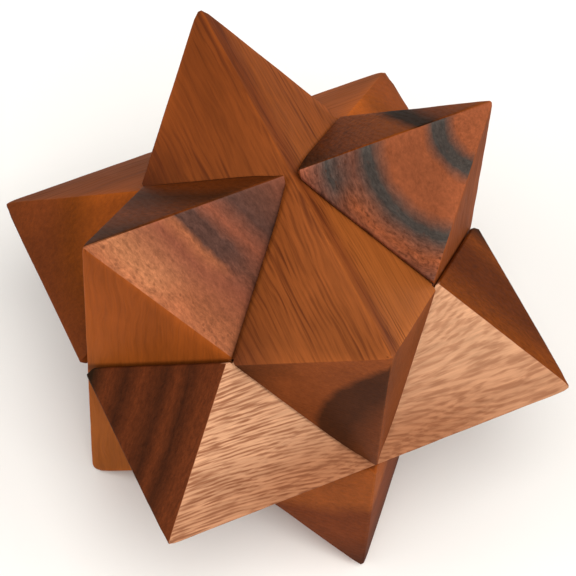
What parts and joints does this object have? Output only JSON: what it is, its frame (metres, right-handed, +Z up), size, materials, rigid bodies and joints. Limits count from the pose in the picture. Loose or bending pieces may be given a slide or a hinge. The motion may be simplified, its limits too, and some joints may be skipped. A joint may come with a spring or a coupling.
{
  "type": "wooden burr puzzle",
  "caption": "Star-shaped interlocking burr puzzle of notched square wooden sticks with wedge ends, which parts into two halves.",
  "frame": {"origin": "under the centre of the star, on the surface that it stands on", "axes": "+Z up; +X along the top and bottom sticks, towards the right stick's ridge; +Y along the left and right sticks, towards the back stick's ridge"},
  "size_m": [0.072, 0.072, 0.072],
  "materials": {
    "bottom_wood": "satin oiled rain-tree wood, medium brown",
    "front_wood": "satin oiled rain-tree wood, orange-brown with dark bands",
    "right_wood": "satin oiled rain-tree wood, pale sapwood with open pores",
    "left_wood": "satin oiled rain-tree wood, deep red-brown",
    "back_wood": "satin oiled rain-tree wood, red-brown with blackish bands",
    "top_wood": "satin oiled rain-tree wood, golden brown with fine dark lines"
  },
  "bodies": {
    "bottom_stick": {"bottom_stick": "bottom_wood"},
    "front_stick": {"front_stick": "front_wood"},
    "right_stick": {"right_stick": "right_wood"},
    "left_stick": {"left_stick": "left_wood"},
    "back_stick": {"back_stick": "back_wood"},
    "top_stick": {"top_stick": "top_wood"}
  },
  "joints": [
    {"name": "part_right_back_top", "type": "slide", "parent": "bottom_stick", "child": "right_stick", "axis": [0.5774, 0.5774, 0.5774], "range_m": [0, 0.045]},
    {"name": "part_front_left_top", "type": "slide", "parent": "bottom_stick", "child": "front_stick", "axis": [-0.5774, -0.5774, 0.5774], "range_m": [0, 0.045]},
    {"name": "part_left_back_top", "type": "slide", "parent": "front_stick", "child": "left_stick", "axis": [-0.5774, 0.5774, 0.5774], "range_m": [0, 0.045]},
    {"name": "top_with_right", "type": "slide", "parent": "left_stick", "child": "top_stick", "axis": [0.5774, 0.5774, 0.5774], "range_m": [0, 0.045]},
    {"name": "back_with_left", "type": "slide", "parent": "right_stick", "child": "back_stick", "axis": [-0.5774, 0.5774, 0.5774], "range_m": [0, 0.045]}
  ],
  "couplings": [
    {"joint": "top_with_right", "follows": "part_right_back_top", "ratio": 1},
    {"joint": "back_with_left", "follows": "part_left_back_top", "ratio": 1}
  ]
}
